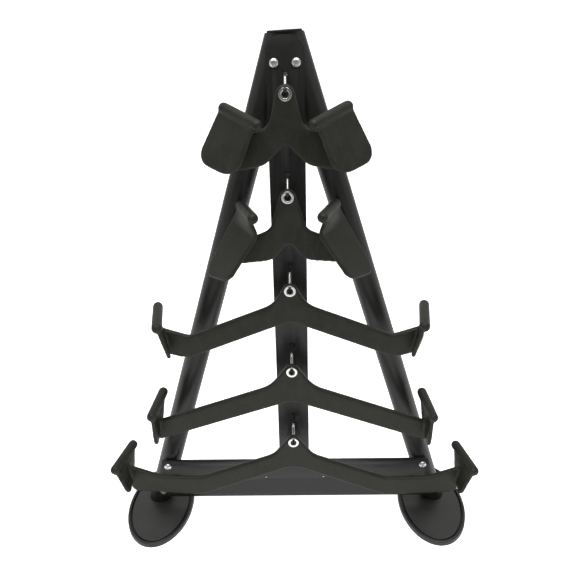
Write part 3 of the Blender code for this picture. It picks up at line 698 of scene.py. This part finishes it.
# ------------------------------------------------------------------- screws
def screw(head_r):
    dome = []
    for k in range(13):
        t = math.radians(90.0 * k / 12.0)
        dome.append((SOCKET_R * 1.25 + (head_r - SOCKET_R * 1.25) * math.sin(t),
                     HEAD_H * 0.30 + HEAD_H * 0.70 * math.cos(t)))
    profile = [(0.0, HEAD_H), *dome, (head_r, 0.4 * MM), (head_r - 0.4 * MM, 0.0),
               (SCREW_SHANK_R, 0.0), (SCREW_SHANK_R, -SCREW_SHANK_L + 1.0 * MM),
               (SCREW_SHANK_R - 1.0 * MM, -SCREW_SHANK_L), (0.0, -SCREW_SHANK_L)]
    body = turned("screw", profile, 64)
    bm = bmesh.new()
    bmesh.ops.create_cone(bm, cap_ends=True, segments=6, radius1=SOCKET_R,
                          radius2=SOCKET_R * 1.04, depth=2.0 * SOCKET_DEPTH)
    hexa = bpy.data.meshes.new("socket")
    bm.to_mesh(hexa)
    bm.free()
    hexa.transform(Matrix.Translation((0.0, 0.0, HEAD_H)))
    out = cut(body, hexa)
    out.transform(Matrix.Rotation(math.pi / 2.0, 4, "X"))
    return out


for s, side in ((-1.0, "left"), (1.0, "right")):
    name = "top_screw_" + side
    turn = Matrix.Rotation(math.radians(17.0 + 40.0 * s), 4, "Y")
    mesh = screw(TOP_HEAD_R)
    mesh.transform(turn)
    show("look_" + name, mesh, "screw", name, "rack_frame", 30.0,
         (s * TOP_SCREW_AT[0], PLATE_FRONT - GAP, TOP_SCREW_AT[1]))
    for (x, z), level in zip(CROSS_SCREWS_AT, ("upper", "lower")):
        name = "crossmember_screw_%s_%s" % (side, level)
        mesh = screw(CROSS_HEAD_R)
        mesh.transform(Matrix.Rotation(math.radians(30.0 * s + 200.0 * x), 4, "Y"))
        show("look_" + name, mesh, "screw", name, "rack_frame",
             30.0, (s * x, PLATE_FRONT - GAP, z))


# -------------------------------------------------------------------- hooks
def hook_path():
    tip, drop = HOOK_TIP_SLOPE, HOOK_DROP_SLOPE
    yc, zc = HOOK_BOTTOM_Y, HOOK_BOTTOM_Z + HOOK_BOTTOM_R
    rear_y = yc + HOOK_BOTTOM_R * math.sin(drop)
    rear_z = zc - HOOK_BOTTOM_R * math.cos(drop)
    bend_z = HOOK_RISE - HOOK_TOP_R * (1.0 - math.cos(drop))
    run = (bend_z - rear_z) / math.sin(drop)
    bend_y = rear_y + run * math.cos(drop)
    centre_y = bend_y + HOOK_TOP_R * math.sin(drop)
    pts = [(0.0, HOOK_REAR - RING_Y, HOOK_RISE)]
    for k in range(15):
        t = drop * k / 14.0
        pts.append((0.0, centre_y - HOOK_TOP_R * math.sin(t),
                    HOOK_RISE - HOOK_TOP_R + HOOK_TOP_R * math.cos(t)))
    for k in range(21):
        t = -drop + (drop + tip) * k / 20.0
        pts.append((0.0, yc - HOOK_BOTTOM_R * math.sin(t),
                    zc - HOOK_BOTTOM_R * math.cos(t)))
    end = pts[-1]
    run = (HOOK_REACH + end[1]) / math.cos(tip)
    pts.append((0.0, -HOOK_REACH, end[2] + run * math.sin(tip)))
    return pts


def rounded_ends(mesh, width):
    obj = loose(mesh)
    mod = obj.modifiers.new("edge", "BEVEL")
    mod.width = width
    mod.segments = 3
    mod.limit_method = "ANGLE"
    mod.angle_limit = math.radians(60.0)
    return baked(obj)


def nut_mesh():
    """Hex nut with turned chamfers and a threaded hole's mouth."""
    body = flat("nut", (circle(0, 0, NUT_AF / math.sqrt(3.0), 6),
                        circle(0, 0, 3.8 * MM, 32)), NUT_H / 2.0, True)
    half = NUT_H / 2.0
    wide = NUT_AF / math.sqrt(3.0)
    shell = turned("shell", [(0.0, half), (NUT_AF * 0.47, half),
                             (wide + 0.1 * MM, half - 0.9 * MM),
                             (wide + 0.1 * MM, -half + 0.9 * MM),
                             (NUT_AF * 0.47, -half), (0.0, -half)], 64)
    shell.transform(Matrix.Rotation(math.pi / 2.0, 4, "X"))
    return cut(body, shell, "INTERSECT")


for k, z in enumerate(RING_Z):
    number = k + 1
    mesh = rounded_ends(rod("hook", hook_path(), HOOK_R, 8), 0.9 * MM)
    show("look_hook_%d" % number, mesh, "hook", "hook_%d" % number, "rack_frame",
         45.0, (0.0, RING_Y, z))
    spin = Matrix.Rotation(math.radians(11.0 * k), 4, "Y")
    mesh = nut_mesh()
    mesh.transform(spin)
    show("look_front_nut_%d" % number, mesh, "nut", "front_nut_%d" % number,
         "rack_frame", 25.0,
         (0.0, PLATE_FRONT - GAP - NUT_H / 2.0, z + HOOK_RISE))
    mesh = nut_mesh()
    mesh.transform(spin)
    show("look_rear_nut_%d" % number, mesh, "nut", "rear_nut_%d" % number,
         "rack_frame", 25.0,
         (0.0, PLATE_FRONT + PLATE_T + GAP + NUT_H / 2.0, z + HOOK_RISE))


# --------------------------------------------------------------------- feet
def oval(rx, ry, sides):
    return [(rx * math.cos(2.0 * math.pi * k / sides),
             ry * math.sin(2.0 * math.pi * k / sides)) for k in range(sides)]


def foot(side, name):
    x = side * FOOT_X
    groove = SOLE_RIM_W + FOOT_GROOVE + 1.2 * MM
    plate = flat("foot", (oval(FOOT_RX - groove, FOOT_RY - groove, 128),),
                 FOOT_PLATE_T / 2.0, False, 1.0 * MM, 3)
    show("look_foot_plate_" + name, plate, "foot", "foot_plate_" + name,
         "rack_frame", 35.0,
         (x, 0.0, FOOT_PLATE_TOP - FOOT_PLATE_T / 2.0))
    profile = [(0.0, SOLE_FLOOR), (FOOT_RY - SOLE_RIM_W, SOLE_FLOOR)]
    for k in range(9):
        t = math.radians(180.0 - 90.0 * k / 8.0)
        profile.append((FOOT_RY - SOLE_RIM_W + 3.0 * MM + 3.0 * MM * math.cos(t),
                        SOLE_RIM_H - 3.0 * MM + 3.0 * MM * math.sin(t)))
    for k in range(9):
        t = math.radians(90.0 - 90.0 * k / 8.0)
        profile.append((FOOT_RY - 3.5 * MM + 3.5 * MM * math.cos(t),
                        SOLE_RIM_H - 3.5 * MM + 3.5 * MM * math.sin(t)))
    profile += [(FOOT_RY, 3.2 * MM), (FOOT_RY - 0.6 * MM, 2.8 * MM),
                (FOOT_RY - 0.6 * MM, 2.2 * MM), (FOOT_RY, 1.8 * MM),
                (FOOT_RY, 1.0 * MM), (FOOT_RY - 0.3 * MM, 0.3 * MM),
                (FOOT_RY - 1.0 * MM, 0.0), (0.0, 0.0)]
    tray = turned("tray", profile, 160)
    for vert in tray.vertices:
        r = math.hypot(vert.co.x, vert.co.y)
        if r > 0.001:
            vert.co.x *= (r - (FOOT_RY - FOOT_RX)) / r
    show("look_foot_rubber_" + name, finish(tray), "rubber",
         "foot_rubber_" + name, "rack_frame", 40.0,
         (x, 0.0, 0.0))


foot(-1.0, "left")
foot(1.0, "right")


# ------------------------------------------------------------------ eyelets
def eyelet():
    upper = []
    for k in range(9):
        t = math.radians(90.0 * k / 8.0)
        upper.append((EYE_BORE_R + EYE_MOUTH_R * (1.0 - math.cos(t)),
                      EYE_HALF_L - EYE_MOUTH_R * (1.0 - math.sin(t))))
    low = EYE_HALF_L - EYE_FLANGE_T
    for k in range(5):
        t = math.radians(90.0 - 90.0 * k / 4.0)
        upper.append((EYE_FLANGE_R - 0.6 * MM + 0.6 * MM * math.cos(t),
                      EYE_HALF_L - 0.6 * MM + 0.6 * MM * math.sin(t)))
    upper += [(EYE_FLANGE_R, low), (EYE_BARREL_R, low)]
    lower = [(r, -z) for r, z in reversed(upper)]
    mesh = turned("eyelet", upper + lower, 72, closed=True)
    mesh.transform(Matrix.Rotation(math.pi / 2.0, 4, "X"))
    return mesh


# -------------------------------------------------------------------- grips
def roll_mesh():
    half = ROLL_LEN / 2.0
    profile = [(0.0, half)]
    for k in range(13):
        t = math.radians(90.0 * k / 12.0)
        profile.append((ROLL_R - ROLL_END_R + ROLL_END_R * math.sin(t),
                        half - ROLL_END_R + ROLL_END_R * math.cos(t)))
    profile += [(r, -z) for r, z in reversed(profile)]
    return turned("roll", profile, 48)


class Palm:
    def __init__(self, spec):
        self.near = Vector(spec["near"]) * MM
        self.far = Vector(spec["far"]) * MM
        self.along = (self.far - self.near).normalized()
        self.lean = [math.radians(a) for a in spec["lean"]]
        self.drop = [d * MM for d in spec["drop"]]
        self.inset = [d * MM for d in spec["inset"]]
        self.round = [d * MM for d in spec["round"]]
        self.bow = spec["bow"] * MM
        self.inward = self.along.cross(self.down(0.5))
        if self.inward.x > 0.0:
            self.inward = -self.inward
        self.centre = (self.near + self.far) / 2.0

    def down(self, u):
        slant = self.lean[0] + (self.lean[1] - self.lean[0]) * u
        out = Vector((math.sin(slant), 0.0, -math.cos(slant)))
        out.y = -(out.x * self.along.x + out.z * self.along.z) / self.along.y
        return out.normalized()

    def flare(self, v):
        s = min(1.0, max(0.0, (v - 0.03) / (PALM_FLARE - 0.05)))
        back = max(0.0, v - PALM_FLARE) / (1.0 - PALM_FLARE)
        return s * s * (3.0 - 2.0 * s) * (1.0 - 0.74 * back)

    def at(self, u, v):
        half = ROLL_LEN / 2.0
        run = (self.inset[0] - half) * (1.0 - u) + (half - self.inset[1]) * u
        length = self.drop[0] * (1.0 - u) + self.drop[1] * u
        bow = self.bow * (1.0 - u) * self.flare(v)
        return (self.centre + self.along * run + self.down(u) * (length * v)
                + self.inward * (PALM_SET_BACK - PALM_THIN / 2.0 + bow))

    def x_at(self, z):
        best = min(((abs(p.y) + abs(p.z - z), p.x) for p in (
            self.at(i / 60.0, j / 60.0) for i in range(61) for j in range(61))))
        return best[1]

    def solid(self, side):
        """Plate of even thickness with its lower corners drawn in."""
        across, deep = self.round[0], self.round[1]
        rear = self.round[2]
        drop = (self.drop[0] + self.drop[1]) / 2.0
        width = ROLL_LEN - self.inset[0] - self.inset[1]
        cells, deepest = 30, 44
        rows = []
        for k in range(deepest + 1):
            t = k / deepest
            rows.append(1.0 - (1.0 - t) ** 1.35)
        verts = []
        for v in rows:
            front = 1.0 - (1.0 - v) * drop / deep
            back = 1.0 - (1.0 - v) * drop / rear
            drawn = 1.0 - math.sqrt(max(0.0, 1.0 - max(0.0, front) ** 2))
            lo = across / width * drawn
            hi = 1.0 - rear / width * (
                1.0 - math.sqrt(max(0.0, 1.0 - max(0.0, back) ** 2)))
            for k in range(cells + 1):
                p = self.at(lo + (hi - lo) * k / cells, v)
                verts.append((p.x * side, p.y, p.z))
        n = cells + 1
        faces = []
        for i in range(deepest):
            for k in range(cells):
                quad = (i * n + k, i * n + k + 1, (i + 1) * n + k + 1,
                        (i + 1) * n + k)
                faces.append(quad if side > 0.0 else quad[::-1])
        sheet = bpy.data.meshes.new("palm")
        sheet.from_pydata(verts, [], faces)
        obj = loose(sheet)
        mod = obj.modifiers.new("thickness", "SOLIDIFY")
        mod.thickness = PALM_T - PALM_THIN
        mod.offset = 0.0
        mod.use_even_offset = True
        return baked(obj)


def grip_mesh(spec):
    """One smooth moulded body: arms, palm plates and hand rolls flow together."""
    palm = Palm(spec)
    hub = spec["hub"] * MM
    first = Vector(spec["top"][0][:2]) * MM
    touch = math.atan2(first.y, first.x) + math.acos(hub / first.length)
    arc = []
    steps = 24
    for i in range(steps + 1):
        t = math.pi / 2.0 + (touch - math.pi / 2.0) * i / steps
        arc.append((hub * math.cos(t), hub * math.sin(t), 0.0))
    end = [(palm.x_at(z * MM), z * MM, 0.0) for z in spec["end"]]
    half = (arc + [tuple(v * MM for v in c) for c in spec["top"]]
            + end + [tuple(v * MM for v in c) for c in spec["low"]])
    left = [(-x, z, r) for x, z, r in reversed(half[1:-1])]
    arms = flat("arms", (fillet(half + left, 4.0),), ARM_HALF_T, True)
    bm = bmesh.new()
    bm.from_mesh(arms)
    for side in (1.0, -1.0):
        flip = Vector((side, 1.0, 1.0))
        axis = palm.along * flip
        down = palm.down(0.5) * flip
        roll = roll_mesh()
        roll.transform(axes(palm.centre * flip, down, axis.cross(down), axis))
        bm.from_mesh(roll)
        bm.from_mesh(palm.solid(side))
    bmesh.ops.recalc_face_normals(bm, faces=bm.faces)
    mesh = bpy.data.meshes.new("grip")
    bm.to_mesh(mesh)
    bm.free()

    voxel = 1.5 * MM
    obj = loose(mesh)

    def remesh():
        mod = obj.modifiers.new("remesh", "REMESH")
        mod.mode = "VOXEL"
        mod.voxel_size = voxel
        mod.adaptivity = 0.0

    def swell(by):
        mod = obj.modifiers.new("swell", "DISPLACE")
        mod.strength = by
        mod.mid_level = 0.0
        mod.direction = "NORMAL"

    def relax(times):
        mod = obj.modifiers.new("relax", "SMOOTH")
        mod.factor = 0.5
        mod.iterations = times

    remesh()
    relax(3)
    swell(-3.4 * MM)
    remesh()
    relax(2)
    swell(3.4 * MM + 3.6 * MM)
    remesh()
    relax(2)
    swell(-3.6 * MM)
    remesh()
    relax(8)
    body = baked(obj)
    body = cut(body, drum(HUB_BORE_R, 40.0 * MM, 72, (0.0, 0.0, 0.0)))
    return body


for k, spec in enumerate(GRIPS):
    number = k + 1
    at = (0.0, RING_Y, RING_Z[k])
    mesh = grip_mesh(spec)
    mesh.transform(Matrix.Rotation(math.radians(spec["hang"]), 4, "Y"))
    show("look_grip_%d" % number, mesh, "coating", "grip_%d" % number,
         "grip_body_%d" % number, 50.0, at)
    show("look_eyelet_%d" % number, eyelet(), "eyelet_%d" % number,
         "eyelet_%d" % number,
         "eyelet_body_%d" % number, 40.0, at)


# -------------------------------------------------------------------- stage
def floor():
    """Level floor that sweeps up far behind."""
    bm = bmesh.new()
    line = [(-5.0, 0.0), (7.0, 0.0)]
    for k in range(1, 13):
        t = math.radians(90.0 * k / 12.0)
        line.append((7.0 + 2.5 * math.sin(t), 2.5 - 2.5 * math.cos(t)))
    line.append((9.5, 6.0))
    rows = []
    for y, z in line:
        rows.append([bm.verts.new((x, y, z - 0.0002)) for x in (-9.0, 0.0, 9.0)])
    for a, b in zip(rows, rows[1:]):
        for i in range(2):
            bm.faces.new((a[i], a[i + 1], b[i + 1], b[i]))
    mesh = bpy.data.meshes.new("floor")
    bm.to_mesh(mesh)
    bm.free()
    for poly in mesh.polygons:
        poly.use_smooth = True
    mesh.materials.append(MATS["floor"])
    obj = bpy.data.objects.new("floor", mesh)
    bpy.context.scene.collection.objects.link(obj)


floor()

# soft studio light: a white paper backdrop, with the room round it dimmer
world = bpy.data.worlds.new("studio")
world.use_nodes = True
bpy.context.scene.world = world
w = Nodes(world.node_tree)
direction = w.add("ShaderNodeTexCoord").outputs["Generated"]
split = w.add("ShaderNodeSeparateXYZ")
w.link(direction, split.inputs[0])
around = w.spread(split.outputs["Y"], 0.06, 0.45, -0.6, 0.0)
above = w.spread(split.outputs["Z"], 0.0, 1.0, 0.45, 0.75)
level = w.math("ADD", around, w.math("MULTIPLY", above,
                                     w.math("SUBTRACT", 0.70, around)))
seen = w.add("ShaderNodeLightPath").outputs["Is Camera Ray"]
level = w.math("ADD", level, w.math("MULTIPLY", seen,
                                    w.math("SUBTRACT", 1.0, level)))
background = w.add("ShaderNodeBackground")
background.inputs["Color"].default_value = (1.0, 1.0, 1.0, 1.0)
w.link(level, background.inputs["Strength"])
out = w.add("ShaderNodeOutputWorld")
w.link(background.outputs[0], out.inputs["Surface"])


def softbox(name, at, aim, size, power):
    light = bpy.data.lights.new(name, "AREA")
    light.shape = "RECTANGLE"
    light.size, light.size_y = size
    light.energy = power
    obj = bpy.data.objects.new(name, light)
    bpy.context.scene.collection.objects.link(obj)
    obj.location = at
    obj.rotation_euler = (Vector(aim) - Vector(at)).to_track_quat(
        "-Z", "Y").to_euler()


softbox("top_light", (0.0, -0.6, 3.4), (0.0, 0.0, 0.6), (2.6, 1.8), 57.0)
softbox("front_top_light", (0.0, -2.3, 3.1), (0.0, 0.0, 0.7), (2.4, 1.2), 38.0)
softbox("left_light", (-2.8, -1.2, 1.6), (0.0, 0.0, 0.7), (1.6, 2.2), 5.0)
softbox("right_light", (2.8, -1.2, 1.6), (0.0, 0.0, 0.7), (1.6, 2.2), 5.0)

# ------------------------------------------------------------------- camera
yaw, pitch, roll = 0.0271, 0.4270, 0.0278
forward = Vector((-math.sin(yaw) * math.cos(pitch),
                  math.cos(yaw) * math.cos(pitch), -math.sin(pitch)))
right = forward.cross(Vector((0.0, 0.0, 1.0))).normalized()
down = forward.cross(right)
right_r = math.cos(roll) * right + math.sin(roll) * down
down_r = -math.sin(roll) * right + math.cos(roll) * down
data = bpy.data.cameras.new("camera")
data.sensor_width = 36.0
data.lens = 600.0 / 570.0 * 36.0
data.clip_end = 60.0
camera = bpy.data.objects.new("camera", data)
bpy.context.scene.collection.objects.link(camera)
camera.matrix_world = axes(Vector((0.0227, -1.3031, 1.2848)), right_r, -down_r,
                           -forward)
bpy.context.scene.camera = camera
bpy.context.scene.view_settings.view_transform = "Standard"
bpy.context.scene.view_settings.look = "None"
